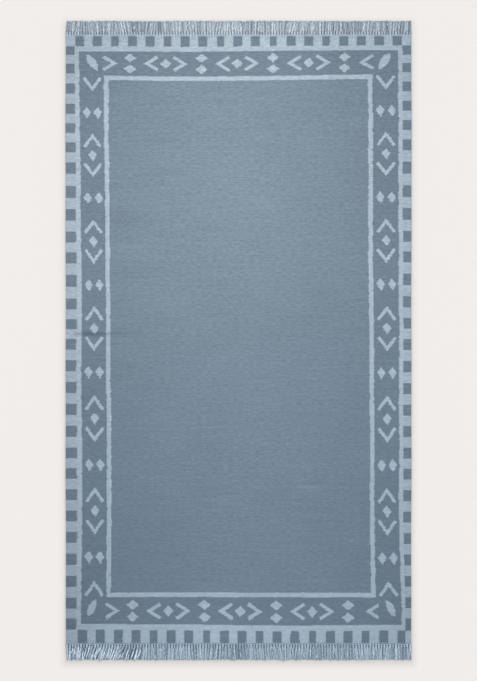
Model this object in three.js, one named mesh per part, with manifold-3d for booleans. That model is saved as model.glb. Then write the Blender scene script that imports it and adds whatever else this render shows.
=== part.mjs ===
// Flatweave rug with knotted fringes, in millimetres.
// The rug lies flat: +X across the width, +Y along the length towards the head, +Z up.
// The origin is on the floor, under the middle of the rug and its two fringes.

import * as THREE from "three";
import { mergeVertices } from "three/addons/utils/BufferGeometryUtils.js";
import Module from "manifold-3d";

const wasm = await Module();
wasm.setup();

// Driving dimensions
const RUG_WIDTH = 800;
const OVERALL_LENGTH = 1480;
const HEAD_FRINGE_LENGTH = 33;
const FOOT_FRINGE_LENGTH = 39;
const CLOTH_THICKNESS = 4;
const PIECE_GAP = 0.3;

// The cloth's edges are rolled by the wefts that turn back round the outer warps
const EDGE_ROLL = 1.4;
const CLOTH_CELL = 46;
const CLOTH_LAYERS = 3;

// The selvedges wander in and out a little: the product of two waves along the length
const EDGE_WANDER = 0.5;
const SHORT_WANDER_LENGTH = 383;
const LONG_WANDER_LENGTH = 898;
const LONG_WANDER_PHASE = 1;

// Places where the cloth lifts a little off the floor: middle, reach each way, and lift
const RIPPLES = [
  { x: -250, y: 290, reachX: 190, reachY: 90, lift: 1.6 },
  { x: -20, y: 330, reachX: 230, reachY: 170, lift: 2.0 },
  { x: -230, y: 90, reachX: 180, reachY: 80, lift: 1.8 },
  { x: 240, y: 130, reachX: 150, reachY: 180, lift: 1.5 },
  { x: 190, y: -340, reachX: 190, reachY: 130, lift: 1.7 },
  { x: -160, y: -430, reachX: 200, reachY: 150, lift: 1.4 },
];

// The narrow strip that the warp ends come out of, at each end of the cloth
const STRIP_DEPTH = 3;
const STRIP_HEIGHT = 3.2;
const STRIP_CHAMFER = 0.8;
const STRIP_INSET = 1;

// One knotted strand: from = distance past the strip, in mm, or as a share of the free length
const ROOT_INSIDE_STRIP = 1.4;
const TOP_NARROWING = 0.55;
const STRAND_SECTIONS = [
  { name: "root", from: -ROOT_INSIDE_STRIP, share: 0, width: 2.4, bottom: 0.7, top: 2.6 },
  { name: "knot", from: 2.6, share: 0, width: 5.2, bottom: 0, top: 4.6 },
  { name: "neck", from: 5.4, share: 0, width: 2.9, bottom: 0, top: 2.6 },
  { name: "middle", from: 0, share: 0.58, width: 4.1, bottom: 0, top: 2.5 },
  { name: "tip", from: 0, share: 1, width: 3.4, bottom: 0, top: 1.4 },
];

// How the strands lean: slow waves along the row, and a few bunches combed over to one side.
// Strands are counted from the row's own left, looking from the strip towards the tips.
const HEAD_ROW = {
  name: "fringe_head",
  strands: 123,
  length: HEAD_FRINGE_LENGTH,
  waves: [
    { swing: 3.0, strandsPerWave: 13, phase: 0.6 },
    { swing: 2.0, strandsPerWave: 29, phase: 2.1 },
  ],
  bunches: [
    { middle: 23, reach: 5, shift: -4 },
    { middle: 77, reach: 6, shift: 4 },
  ],
  seed: 11,
};
const FOOT_ROW = {
  name: "fringe_foot",
  strands: 122,
  length: FOOT_FRINGE_LENGTH,
  waves: [
    { swing: 2.6, strandsPerWave: 15, phase: 4.0 },
    { swing: 1.8, strandsPerWave: 34, phase: 1.2 },
  ],
  bunches: [
    { middle: 105, reach: 13, shift: 12 },
    { middle: 52, reach: 6, shift: -4 },
  ],
  seed: 29,
};
const OWN_LEAN = 0.5;
const TIP_UNEVEN = 1.2;
const LEAST_GAP = 0.5;
const LATE_BEND = 1.4;

// How near to a side or face of the plain slab a corner has to be to lie on it
const ON_FACE = 0.01;
const MERGE_DISTANCE = 1e-4;

const HALF_WIDTH = RUG_WIDTH / 2;
const HEAD_EDGE_Y = OVERALL_LENGTH / 2 - HEAD_FRINGE_LENGTH;
const FOOT_EDGE_Y = -OVERALL_LENGTH / 2 + FOOT_FRINGE_LENGTH;
const CLOTH_LENGTH = HEAD_EDGE_Y - FOOT_EDGE_Y;
const CLOTH_MIDDLE_Y = (HEAD_EDGE_Y + FOOT_EDGE_Y) / 2;

// A small repeatable random number maker, 0 to 1
function randomFrom(seed) {
  let state = seed;
  return () => {
    state = (state + 0x6d2b79f5) | 0;
    let mixed = Math.imul(state ^ (state >>> 15), 1 | state);
    mixed = (mixed + Math.imul(mixed ^ (mixed >>> 7), 61 | mixed)) ^ mixed;
    return ((mixed ^ (mixed >>> 14)) >>> 0) / 4294967296;
  };
}

// Lift of the cloth at one place: each ripple is a smooth bell that ends at its reach
function rippleLift(x, y) {
  let lift = 0;
  for (const ripple of RIPPLES) {
    const away = Math.hypot((x - ripple.x) / ripple.reachX, (y - ripple.y) / ripple.reachY);
    if (away < 1) {
      lift += (ripple.lift * (1 + Math.cos(Math.PI * away))) / 2;
    }
  }
  return lift;
}

// Closed geometry with shared corners, ready for a solid
function closedGeometry(geometry) {
  geometry.deleteAttribute("normal");
  geometry.deleteAttribute("uv");
  return mergeVertices(geometry, MERGE_DISTANCE);
}

function toSolid(geometry) {
  const closed = closedGeometry(geometry);
  const vertProperties = new Float32Array(closed.attributes.position.array);
  const triVerts = new Uint32Array(closed.index.array);
  return new wasm.Manifold(new wasm.Mesh({ numProp: 3, vertProperties, triVerts }));
}

function fromSolid(solid) {
  const mesh = solid.getMesh();
  const geometry = new THREE.BufferGeometry();
  geometry.setAttribute("position", new THREE.BufferAttribute(mesh.vertProperties, 3));
  geometry.setIndex(new THREE.BufferAttribute(mesh.triVerts, 1));
  geometry.computeVertexNormals();
  return geometry;
}

// How far the selvedge stands in from the full width at one place along the length
function selvedgeInset(y) {
  const shortWave = Math.sin((2 * Math.PI * y) / SHORT_WANDER_LENGTH);
  const longWave = Math.sin((2 * Math.PI * y) / LONG_WANDER_LENGTH + LONG_WANDER_PHASE);
  return EDGE_WANDER * (1 + shortWave * longWave);
}

// The cloth: a thin slab with rolled edges and gentle ripples, the same thickness all over
function clothGeometry() {
  const acrossCells = Math.round(RUG_WIDTH / CLOTH_CELL);
  const alongCells = Math.round(CLOTH_LENGTH / CLOTH_CELL);
  const geometry = new THREE.BoxGeometry(
    RUG_WIDTH,
    CLOTH_LENGTH,
    CLOTH_THICKNESS,
    acrossCells,
    alongCells,
    CLOTH_LAYERS,
  );
  const position = geometry.attributes.position;
  const halfLength = CLOTH_LENGTH / 2;
  for (let i = 0; i < position.count; i += 1) {
    const x = position.getX(i);
    const y = position.getY(i);
    const height = position.getZ(i) / CLOTH_THICKNESS + 0.5;
    const isFace = height < ON_FACE || height > 1 - ON_FACE;
    const roll = isFace ? EDGE_ROLL : 0;
    const isSelvedge = Math.abs(x) > HALF_WIDTH - ON_FACE;
    const isEnd = Math.abs(y) > halfLength - ON_FACE;
    const edgeX = isSelvedge ? Math.sign(x) * (HALF_WIDTH - roll - selvedgeInset(y)) : x;
    const edgeY = isEnd ? Math.sign(y) * (halfLength - roll) : y;
    const placedY = edgeY + CLOTH_MIDDLE_Y;
    position.setXYZ(i, edgeX, placedY, height * CLOTH_THICKNESS + rippleLift(edgeX, placedY));
  }
  return geometry;
}

// The strip, with its upper edges taken off, running across the rug from y = 0 to its depth
function stripGeometry() {
  const outline = new THREE.Shape([
    new THREE.Vector2(0, 0),
    new THREE.Vector2(STRIP_DEPTH, 0),
    new THREE.Vector2(STRIP_DEPTH, STRIP_HEIGHT - STRIP_CHAMFER),
    new THREE.Vector2(STRIP_DEPTH - STRIP_CHAMFER, STRIP_HEIGHT),
    new THREE.Vector2(STRIP_CHAMFER, STRIP_HEIGHT),
    new THREE.Vector2(0, STRIP_HEIGHT - STRIP_CHAMFER),
  ]);
  const stripLength = RUG_WIDTH - 2 * STRIP_INSET;
  const geometry = new THREE.ExtrudeGeometry(outline, { depth: stripLength, bevelEnabled: false });
  // The outline's x becomes y, its y becomes z and the extrusion runs along x
  geometry.rotateX(Math.PI / 2);
  geometry.rotateZ(Math.PI / 2);
  geometry.translate(-stripLength / 2, 0, 0);
  return geometry;
}

// Where each strand's tip ends up across the rug, kept clear of its neighbours
function tipPlaces(row, random) {
  const pitch = RUG_WIDTH / row.strands;
  const tips = [];
  for (let i = 0; i < row.strands; i += 1) {
    let lean = (random() - 0.5) * 2 * OWN_LEAN;
    for (const wave of row.waves) {
      lean += wave.swing * Math.sin((2 * Math.PI * i) / wave.strandsPerWave + wave.phase);
    }
    for (const bunch of row.bunches) {
      lean += bunch.shift * Math.exp(-(((i - bunch.middle) / bunch.reach) ** 2));
    }
    tips.push(-HALF_WIDTH + (i + 0.5) * pitch + lean);
  }
  const { width } = STRAND_SECTIONS.find((section) => section.name === "middle");
  const step = width + LEAST_GAP;
  const limit = HALF_WIDTH - width / 2;
  tips[0] = Math.max(tips[0], -limit);
  for (let i = 1; i < tips.length; i += 1) {
    tips[i] = Math.max(tips[i], tips[i - 1] + step);
  }
  tips[tips.length - 1] = Math.min(tips[tips.length - 1], limit);
  for (let i = tips.length - 2; i >= 0; i -= 1) {
    tips[i] = Math.min(tips[i], tips[i + 1] - step);
  }
  return tips;
}

// One strand: a four-sided rod that swells at its knot and then bends towards its tip
function strandGeometry(rootX, tipX, freeLength) {
  const ringCount = STRAND_SECTIONS.length;
  const geometry = new THREE.BoxGeometry(1, 1, 1, 1, ringCount - 1, 1);
  const position = geometry.attributes.position;
  for (let i = 0; i < position.count; i += 1) {
    const ring = Math.round((position.getY(i) + 0.5) * (ringCount - 1));
    const section = STRAND_SECTIONS[ring];
    const y = section.from + section.share * freeLength;
    const along = Math.max(0, y) / freeLength;
    const middleX = rootX + (tipX - rootX) * along ** LATE_BEND;
    const isTop = position.getZ(i) > 0;
    const width = section.width * (isTop ? TOP_NARROWING : 1);
    const x = middleX + Math.sign(position.getX(i)) * (width / 2);
    position.setXYZ(i, x, y, isTop ? section.top : section.bottom);
  }
  return geometry;
}

// A whole row: its strip and its strands, made as if it grew towards +Y from y = 0
function fringeGeometry(row) {
  const random = randomFrom(row.seed);
  const pitch = RUG_WIDTH / row.strands;
  const tips = tipPlaces(row, random);
  let solid = toSolid(stripGeometry());
  const fullLength = row.length - PIECE_GAP - STRIP_DEPTH;
  for (let i = 0; i < row.strands; i += 1) {
    const isEnd = i === 0 || i === row.strands - 1;
    const freeLength = fullLength - (isEnd ? 0 : random() * TIP_UNEVEN);
    const strand = strandGeometry(-HALF_WIDTH + (i + 0.5) * pitch, tips[i], freeLength);
    strand.translate(0, STRIP_DEPTH, 0);
    solid = solid.add(toSolid(strand));
  }
  return fromSolid(solid);
}

const weave = new THREE.MeshStandardMaterial({ color: 0x7f90a3, roughness: 0.95, metalness: 0 });
const headYarn = new THREE.MeshStandardMaterial({ color: 0xa1acb6, roughness: 0.9, metalness: 0 });
const footYarn = new THREE.MeshStandardMaterial({ color: 0x92a1b0, roughness: 0.9, metalness: 0 });

const rug = new THREE.Group();

const cloth = new THREE.Mesh(clothGeometry(), weave);
cloth.name = "rug_cloth";
rug.add(cloth);

const head = new THREE.Mesh(fringeGeometry(HEAD_ROW), headYarn);
head.name = HEAD_ROW.name;
head.position.y = HEAD_EDGE_Y + PIECE_GAP;
rug.add(head);

// The foot row is made the same way and turned half round, so that it grows towards -Y
const foot = new THREE.Mesh(fringeGeometry(FOOT_ROW), footYarn);
foot.name = FOOT_ROW.name;
foot.rotation.z = Math.PI;
foot.position.y = FOOT_EDGE_Y - PIECE_GAP;
rug.add(foot);

export default rug;
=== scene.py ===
"""Flatweave rug with a knotted fringe at each end, lying flat on a pale floor.

The cloth is a thin closed sheet with its ribs modelled, the fringes are knotted yarns, and the border
is worked out by the cloth's material from plain shapes on the rug's plan.
Sizes are in millimetres unless a name or comment says otherwise, and MM turns them into metres.
"""

import functools
import math
import random

import bmesh
import bpy
import numpy as np
from mathutils import Matrix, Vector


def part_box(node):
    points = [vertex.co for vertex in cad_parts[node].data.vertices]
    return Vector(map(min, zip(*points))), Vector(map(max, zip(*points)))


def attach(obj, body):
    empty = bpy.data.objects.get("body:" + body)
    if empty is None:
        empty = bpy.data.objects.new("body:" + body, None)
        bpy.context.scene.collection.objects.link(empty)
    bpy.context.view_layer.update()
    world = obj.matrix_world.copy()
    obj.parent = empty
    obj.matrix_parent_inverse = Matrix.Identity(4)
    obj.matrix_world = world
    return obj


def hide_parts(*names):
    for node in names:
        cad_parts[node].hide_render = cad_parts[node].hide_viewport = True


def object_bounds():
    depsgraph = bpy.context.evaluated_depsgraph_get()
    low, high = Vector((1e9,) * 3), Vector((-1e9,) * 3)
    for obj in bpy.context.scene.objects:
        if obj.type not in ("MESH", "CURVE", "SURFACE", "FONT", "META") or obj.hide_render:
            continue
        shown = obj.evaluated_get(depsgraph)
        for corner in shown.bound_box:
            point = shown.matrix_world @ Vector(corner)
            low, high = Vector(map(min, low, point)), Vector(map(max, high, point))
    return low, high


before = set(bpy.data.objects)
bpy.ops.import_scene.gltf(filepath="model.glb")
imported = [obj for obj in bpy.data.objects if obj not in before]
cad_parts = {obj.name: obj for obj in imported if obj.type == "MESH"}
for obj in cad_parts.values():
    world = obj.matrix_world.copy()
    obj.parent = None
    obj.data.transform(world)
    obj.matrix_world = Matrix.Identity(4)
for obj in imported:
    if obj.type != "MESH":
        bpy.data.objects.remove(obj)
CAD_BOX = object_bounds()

bl_info = {
    "name": "Flatweave Rug",
    "version": (1, 0, 0),
    "blender": (4, 5, 0),
    "location": "3D View > Sidebar > Rug",
    "description": "Weaves a flat rug with a patterned border and knotted fringes",
    "category": "Add Mesh",
}

MM = 0.001


def table(columns, *rows):
    """A short table: each row becomes a dictionary, with the names of its columns given once."""
    return [dict(zip(columns.split(), row)) for row in rows]


# The cloth and the fringes reach as far as their solids do
CLOTH_LOW, CLOTH_HIGH = (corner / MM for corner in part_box("rug_cloth"))
HEAD_EDGE = CLOTH_HIGH.y
FOOT_EDGE = CLOTH_LOW.y
CLOTH_LENGTH = HEAD_EDGE - FOOT_EDGE
CLOTH_MIDDLE_Y = (HEAD_EDGE + FOOT_EDGE) / 2
RUG_WIDTH = 800
HALF_WIDTH = RUG_WIDTH / 2
CLOTH_THICKNESS = 4

# Each head knot binds two warps, so the ribs are half a knot apart
HEAD_STRANDS = 123
FOOT_STRANDS = 122
RIBS = 2 * HEAD_STRANDS
RIB_PITCH = RUG_WIDTH / RIBS
PICK_PITCH = 2.0
RIB_RELIEF = 0.35
EDGE_ROLL = RIB_PITCH / 2
END_ROLL = 0.8
ROWS_ALONG = 92
ROLL_CUTS = 3

# The selvedges wander in and out: the product of two waves along the length
EDGE_WANDER = 0.5
SHORT_WANDER_LENGTH = 383
LONG_WANDER_LENGTH = 898
LONG_WANDER_PHASE = 1

# Places where the cloth lifts a little off the floor
RIPPLES = table(
    "x y reach_x reach_y lift",
    (-250, 290, 190, 90, 1.6),
    (-20, 330, 230, 170, 2.0),
    (-230, 90, 180, 80, 1.8),
    (240, 130, 150, 180, 1.5),
    (190, -340, 190, 130, 1.7),
    (-160, -430, 200, 150, 1.4),
)

# A faint crease from the left selvedge, where the rug was folded
CREASE = {"y": 19, "half_width": 20, "depth": 0.8, "from_x": -400, "to_x": -150}
# Marks drawn into the colour: the dark line of that fold, partly painted shade of its crease and partly
# soiling, and a small mark towards the foot, darker above and paler below. None shows further to the left
# than the limit after this table
FOLD_SHADE_AND_MARK = table(
    "x y reach_x reach_y deeper",
    (-345, 15.3, 130, 8, 0.38),
    (179, -326, 38, 9, 0.13),
    (165, -341, 42, 11, -0.15),
)
MARKS_FROM_X = -382

# The plan that the weaver followed: half sizes of its nested rectangles, and the middles of its lines
PLAN_OUTER_LINE = (377.2, 675.5)
PLAN_BAND = (366.8, 663.5)
PLAN_INNER_LINE = (309.1, 603.0)
PLAN_FIELD = (299, 592.6)
PLAN_BLOCK_ROW_END = 701
PLAN_BLOCK_ROW_HALF_WIDTH = 382
SIDE_LINES = {"left_outer": -372, "left_inner": -304, "right_inner": 304, "right_outer": 372}
END_LINES = {"foot_outer": -669.5, "foot_inner": -597.5, "head_inner": 597.5, "head_outer": 669.5}

# How far the long lines stray to the right of the plan, at places down the rug
SIDE_LINE_DRIFT = table(
    "y left_outer left_inner right_inner right_outer",
    (650, -3.2, -2.4, 0.3, 3.4),
    (480, 0.3, -2, 1.8, 3.3),
    (325, 1, 0.5, 1.8, 3.4),
    (185, 3, 1.2, 1.8, 4.8),
    (45, 4, 2, 4.3, 6),
    (-90, 2.5, 3, 4.4, 5.2),
    (-230, 4.5, 4.6, 5.8, 5.2),
    (-370, 4.8, 4.8, 5, 4.6),
    (-510, 3.2, 3.3, 7, 8),
    (-625, 2, 3.7, 9, 11.5),
)

# How far the end lines stray from the plan towards the head, at places across the rug
END_LINE_DRIFT = table(
    "x head_outer head_inner foot_inner foot_outer",
    (-285, 5, 10, 9.5, 8),
    (-200, 4.5, 8.5, 10, 7),
    (-120, 3.5, 7.5, 10.5, 6.5),
    (0, 5, 8.6, 9.5, 5),
    (120, 6.5, 10, 9.5, 3.5),
    (240, 7, 12, 9.5, 4.5),
    (340, 8, 13, 9, 5.5),
)

# Where the end block rows really end, and how deep the pale line past them is on the plan
HEAD_ROW_END_Y = 704.2
FOOT_ROW_END_Y = -700
END_LINE_DEPTH = 3.5

# Where the dark side blocks lie down each selvedge, by their count from the head
SIDE_BLOCK_PLACES = table(
    "count left_y right_y",
    (0, 671, 671),
    (1, 629.5, 631.5),
    (2, 583, 588),
    (3, 535.5, 543),
    (5, 447, 454),
    (6, 400, 400),
    (7, 343, 345.5),
    (9, 238.5, 240),
    (10, 192, 194),
    (12, 83.5, 89),
    (14, -8, -9),
    (16, -108.5, -111.5),
    (19, -260.5, -260.5),
    (20, -307, -309),
    (23, -455, -458),
    (26, -608, -606.5),
    (27, -654.5, -655),
)
SIDE_BLOCK_SHARE = 0.51

# Where each pair of diamonds lies in the side bands: the count of pairs from the head
SIDE_PAIR_PLACES = table(
    "count left_y right_y",
    (-1, 728, 733),
    (0, 528, 532.5),
    (1, 330, 332.5),
    (2, 129.5, 131),
    (3, -72.5, -73.5),
    (4, -286.5, -288),
    (5, -499.5, -502.5),
    (6, -723, -720),
)

# Motifs in the side bands, measured from the band's middle and from the pair of diamonds
SIDE_REPEAT = 205
SIDE_BAND_MIDDLE = 337.9
SIDE_BAND_LEAN = 0.85
SIDE_MOTIF_END = 606
SIDE_PAIR = {"apart": 12.9, "half_width": 10, "to_head": 12.6, "to_foot": 15.5}
SIDE_SINGLE = {"half_width": 10.3, "to_head": 11.4, "to_foot": 15.6}
SIDE_SINGLE_TURN = 0.496
SIDE_CHEVRON = {"tip": 50, "slope": 1.35, "thickness": 12, "cut": 63}
SIDE_CHEVRON_LEAN = 0.8
SIDE_SKEW = 0.07

# Motifs in the end bands, measured from the band's middle and from the stacked pair of diamonds, and
# how far the last chevrons at the left and the right are shifted
END_REPEAT = 165
END_BAND_MIDDLE = 633.8
END_FIRST_PAIR = 80.5
END_MOTIF_END = 315
END_PAIR = {"apart": 13.4, "half_width": 14.6, "half_length": 11}
END_SINGLE = {"half_width": 12.8, "half_length": 12}
END_LAST_FROM_X = 262
END_LAST_SHIFT = {"left": -2.8, "right_head": 2, "right_foot": 8.5}
END_CHEVRON = {"tip": 31.5, "slope": 1.6, "thickness": 14, "cut": 69}

# Leaves in the corners, which point to the rug's middle: each size, and how much more of it the head's
# leaves have and the foot's leaves lack
LEAF = {"x": (339, -3), "y": (630.9, 4.4), "half_length": (21.4, 1), "half_width": (8.15, 0.8)}
LEAF_ANGLE = 60
LEAF_SLANT = 0.05
LEAF_BLUNTNESS = 0.7
LEAF_SWELL = 0.15

# Blocks in the end rows, with every third one narrower
END_BLOCK_PITCH = 40.6
FOOT_BLOCK_SHIFT = 1.6
END_BLOCK_HALF_WIDTH = 10.5
NARROW_BLOCK_EVERY = 3
NARROW_BLOCK_LOSS = 2
NARROW_BLOCK_REACH = 307

# How far edges wander to and fro, in cycles a metre across, along and up: waves of 17 to 33 mm
LINE_WOBBLE = {"cycles": (55, 40, 0), "swing": 3.4, "about": 0}
END_WOBBLE = {"cycles": (30, 60, 0), "swing": 1.2, "about": 0}
MOTIF_WOBBLE_SHARE = 0.2

# Painted light and shade down the rug, at its left, in its middle and at its right: how much paler or
# deeper the cloth is drawn as the light falls off
LIGHT_FALLOFF_PAINT = table(
    "y left middle right",
    (650, 0.92, 1.04, 0.91),
    (450, 1.01, 1, 0.97),
    (260, 1.03, 0.985, 1),
    (0, 1, 1, 1.01),
    (-300, 0.96, 1.045, 1),
    (-505, 0.88, 1.005, 0.95),
    (-575, 0.835, 1.02, 0.905),
    (-650, 0.82, 1.075, 0.89),
)
# Faint ripples at the field's left, where the cloth is painted a little deeper or paler as their shade and
# light
RIPPLE_SHADE_PAINT = table(
    "x y reach_x reach_y gain",
    (-260, 325, 110, 32, 0.06),
    (-260, 280, 110, 32, -0.07),
    (-230, 215, 110, 32, 0.045),
    (-250, 160, 110, 32, -0.06),
    (-210, -35, 110, 32, 0.045),
)

# Unevenness in cycles a metre: clouds of 250 mm, streaks 7 mm deep, slubs 12 mm long in their own weft
# and fibres of 1 mm. On the fringe, patches of 3 by 7 mm, clusters of 55 by 170 mm and plies of 1.4 mm
CLOUDS = {"cycles": (3.5, 4.5, 0), "swing": 0.1, "detail": 4.0, "roughness": 0.6}
STREAKS = {"cycles": (9, 140, 0), "swing": 0.12}
SLUBS = {"cycles": (82, 350, 0), "swing": 1.0, "about": 0, "roughness": 0.6}
FIBRES = {"cycles": (900, 1800, 900), "swing": 0.5, "roughness": 0.6}
YARN_PATCHES = {"cycles": (330, 150, 0), "swing": 0.45}
YARN_CLUSTERS = {"cycles": (18, 6, 0), "swing": 0.06}
YARN_PLIES = {"cycles": (2200, 700, 2200), "swing": 0.5}
YARN_PLY_RELIEF = 0.3
YARN_BUMP = 0.5
BEAD_BUMP = 0.6
BEAD_SHARE = 0.5
# How much slubs show in the rug's middle, and how much more a metre nearer the head
SLUB_SWING = 0.36
SLUB_GROWTH = 0.1

# How pale the field is in its middle, what it loses at its sides as painted shade, where the light falls
# off, and how pale the end rows are
FIELD_GAIN = 1.015
FIELD_SIDE_SHADE = 0.065
END_ROW_GAIN = 1.07

# The last wefts before the knots: how far in they differ, by how much, and the teeth of the end blocks
GATHER_REACH = 4.5
GATHER_SWING = 0.62
GATHER_LIFT = 0.28
BLOCK_TOOTH = 1.5

# The cord twined along the cloth's end, with its segments to a knot
EDGE_GAP = 0.2
CORD_DEPTH = 2.4
CORD_HEIGHT = 3.4
CORD_TWIST = 0.2
CORD_INSET = 1
CORD_SEGMENTS = 4

# The knots with their radii, and the two warps that run into each
KNOT_HEIGHT = 4.6
KNOT_UNEVEN = 0.25
KNOT_TILT = (15, 35)
KNOT_BODY = (2.2, 2.4, 2.0)
KNOT_WRAP = (1.85, 1.85, 1.85)
WRAP_YARN_SHARE = 0.38
STUB_RADIUS = 0.85
STUB_START_HEIGHT = 3
STUB_CLOSING = 0.7

# How the strands lean, and how their loose yarns lie past the knot
LATE_BEND = 1.4
OWN_LEAN = 0.5
LEAST_TIP_STEP = 4.6
LOWER_START = 2.5
LOWER_OVERLAP = 1.1
UPPER_SPREAD = 4.2
UPPER_UNEVEN = 0.6
UPPER_LAYERS = 0.7
NECK_SHARE = 0.35
NECK_TO_SPREAD = 6
KNOT_OPENNESS = 0.4
UPPER_REST = 1.9
TIP_DROP = 0.8
TIP_TAPER = 0.25
STRAY_SHARE = 0.45
STRAY_SPREAD = 2.8
CRIMP = 0.7
CRIMP_LENGTH = 10
ALIKE_EVERY = 3
WISP_LENGTH = 4.5

# How pale each part of the fringe is, from -1, the cloth's pale weft, over 0, deep cotton, and 1, pale
# cotton, to 2, bleached cotton. Deep and pale are one cotton, painted shaded and lit: the lower yarns deep
# as the shade between the ridges, the upper ones pale as lit
UPPER_LIT_TONE = (0.2, 1.0)
LOWER_SHADED_TONE = (0.05, 0.55)
STUB_TONE = 0.85
KNOT_TONE = 0.6
WRAP_TONE = 0.85
CURL_TONE = (1.5, 2.4)
STRAND_TONE_SWING = 0.13

# Short loose ends that curl over the strands
CURL_LEAN = 3
CURL_ASIDE = 1
CURL_HEIGHT = 3.0
CURL_ARCH = 1
CURL_TAPER = 0.4
CURL_STOP = 1

# The floor's paint carries a soft painted shadow round the rug, deeper at its foot, in metres
SHADE_SHIFT = 0.006
SHADE_REACH = 0.02
SHADE_DEPTH = (0.1, 0.17)
SHADE_SOFTNESS = 1.5
SHADE_DEEPENS_FROM = -0.6

# The stage, in metres, but for the camera's lens and sensor
LENS = 85
SENSOR = 36
FLOOR_HALF_SIZE = 8
FLOOR_LEVEL = -0.0003
KEY_PLACE = (-0.025, 0.38, 0.62)
KEY_SIZE = 0.35
# How far off the lamp gives the floor a quarter of what it gives right below, and how much that is
KEY_REACH = 0.64
KEY_GAIN = (0.608, 0.495, 0.375)

# The two rows of strands. They lean in slow waves and in a few bunches combed over to one side, and curled
# ends lie on top, in places over strands whose lower yarns are painted deeper as shade
ROWS = [
    {
        "node": "fringe_head",
        "strands": HEAD_STRANDS,
        "turned": False,
        "length": (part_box("fringe_head")[1].y / MM) - HEAD_EDGE,
        "waves": table("swing strands phase", (3.0, 13, 0.6), (2.0, 29, 2.1)),
        "bunches": table("middle reach shift", (23, 5, -4), (77, 6, 4)),
        "wisps": 0,
        "curls": table("from to count length thickness shade", (0, 123, 30, (4, 11), 1.2, 0)),
        "side_tone": -0.16,
        "tip_uneven": 4,
        "paler": 0.07,
        "knots_paler": -0.12,
        "knot_place": 5.3,
        "seed": 11,
    },
    {
        "node": "fringe_foot",
        "strands": FOOT_STRANDS,
        "turned": True,
        "length": FOOT_EDGE - (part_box("fringe_foot")[0].y / MM),
        "waves": table("swing strands phase", (2.6, 15, 4.0), (1.8, 34, 1.2)),
        "bunches": table("middle reach shift", (105, 13, 12), (52, 6, -4)),
        "wisps": 0.25,
        "curls": table(
            "from to count length thickness shade",
            (0, 122, 50, (4, 11), 1.2, 0),
            (95, 121, 30, (12, 26), 2.1, 0.6),
        ),
        "side_tone": 0,
        "tip_uneven": 3.4,
        "paler": 0.08,
        "knots_paler": -0.1,
        "knot_place": 6.8,
        "seed": 29,
    },
]


def linear(hex_colour):
    """Turns an sRGB hex colour into linear red, green and blue."""
    channels = [int(hex_colour[i : i + 2], 16) / 255 for i in (1, 3, 5)]
    return [c / 12.92 if c <= 0.04045 else ((c + 0.055) / 1.055) ** 2.4 for c in channels]


def put(tree, kind, *inputs, sockets=None, **settings):
    """Adds a node, whose kind may name its operation after a space, and returns its first output.

    Its inputs are given in order or by socket name, and its other settings by name.
    """
    kind, *operation = kind.split()
    node = tree.nodes.new("ShaderNode" + kind)
    if operation:
        node.operation = operation[0]
    for name, value in settings.items():
        setattr(node, name, value)
    enabled = [socket for socket in node.inputs if socket.enabled]
    chosen = list(zip(enabled, inputs))
    chosen += [(node.inputs[name], value) for name, value in (sockets or {}).items()]
    for socket, value in chosen:
        if isinstance(value, bpy.types.NodeSocket):
            tree.links.new(value, socket)
        elif value is not None:
            socket.default_value = [*value, 1] if socket.type == "RGBA" else value
    return next((socket for socket in node.outputs if socket.enabled), None)


def empty_material(name):
    """A material with no nodes yet, and put with its tree already given."""
    material = bpy.data.materials.new(name)
    material.use_nodes = True
    material.node_tree.nodes.clear()
    return material, functools.partial(put, material.node_tree)


def length_property(name, description, millimetres):
    return bpy.props.FloatProperty(
        name=name, description=description, default=millimetres * MM, min=0, unit="LENGTH"
    )


def colour_property(name, description, hex_colour):
    return bpy.props.FloatVectorProperty(
        name=name, description=description, default=linear(hex_colour), min=0, max=1, subtype="COLOR"
    )


class ClothSettings(bpy.types.PropertyGroup):
    thickness: length_property("Thickness", "Thickness of the cloth", CLOTH_THICKNESS)
    rib_relief: length_property("Rib relief", "Depth of the valleys between the ribs", RIB_RELIEF)
    bead_relief: length_property("Bead relief", "Height of each weft where it passes over a warp", 0.3)
    field: colour_property("Field", "Slate cotton of the plain field", "#6B7E90")
    band: colour_property("Band", "Darker slate cotton of the border band", "#657788")
    dark_block: colour_property("Dark blocks", "Darkest cotton, in the outer blocks", "#647585")
    light_line: colour_property("Light lines", "Pale cotton of the lines and motifs", "#9AACBD")
    light_block: colour_property("Light blocks", "Pale cotton between the outer blocks", "#96A7B6")


class FringeSettings(bpy.types.PropertyGroup):
    yarn_thickness: length_property("Yarn thickness", "Thickness of one loose yarn", 1.5)
    upper_yarns: bpy.props.IntProperty(
        name="Upper yarns", description="Pale yarns on top of a strand", default=4, min=1
    )
    lower_yarns: bpy.props.IntProperty(
        name="Lower yarns", description="Shaded yarns under a strand", default=4, min=1
    )
    # The pale and deep yarns are one cotton, drawn lit on top and shaded below: painted light and shade
    pale: colour_property("Pale yarn", "Sunlit upper yarns", "#CBDAE8")
    deep: colour_property("Deep yarn", "Yarns at the bottom of the fringe", "#607284")
    # Painted light: the yarns at the foot are tinted cooler, as the light there is cooler
    foot_light_tint: colour_property("Foot tint", "Cooler tint of the yarns at the foot", "#F6FCFF")
    weft: colour_property("Twined weft", "Pale cotton of the cord that closes the cloth's end", "#C4DFF8")
    bleached: colour_property("Bleached yarn", "Loose ends that the sun has bleached", "#EEF5FF")


class StageSettings(bpy.types.PropertyGroup):
    floor: colour_property("Floor", "Pale floor under the rug", "#F1EDEA")
    view_length: length_property("View length", "Length of floor that the picture shows", 1574.8)
    key_power: bpy.props.FloatProperty(
        name="Key light", description="Power of the lamp over the rug", default=2.4, min=0, unit="POWER"
    )
    key_colour: colour_property("Key colour", "Warm tint of the key light", "#FFE9CE")
    sky_strength: bpy.props.FloatProperty(
        name="Sky", description="Strength of the even light all round", default=1.0, min=0
    )


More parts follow.
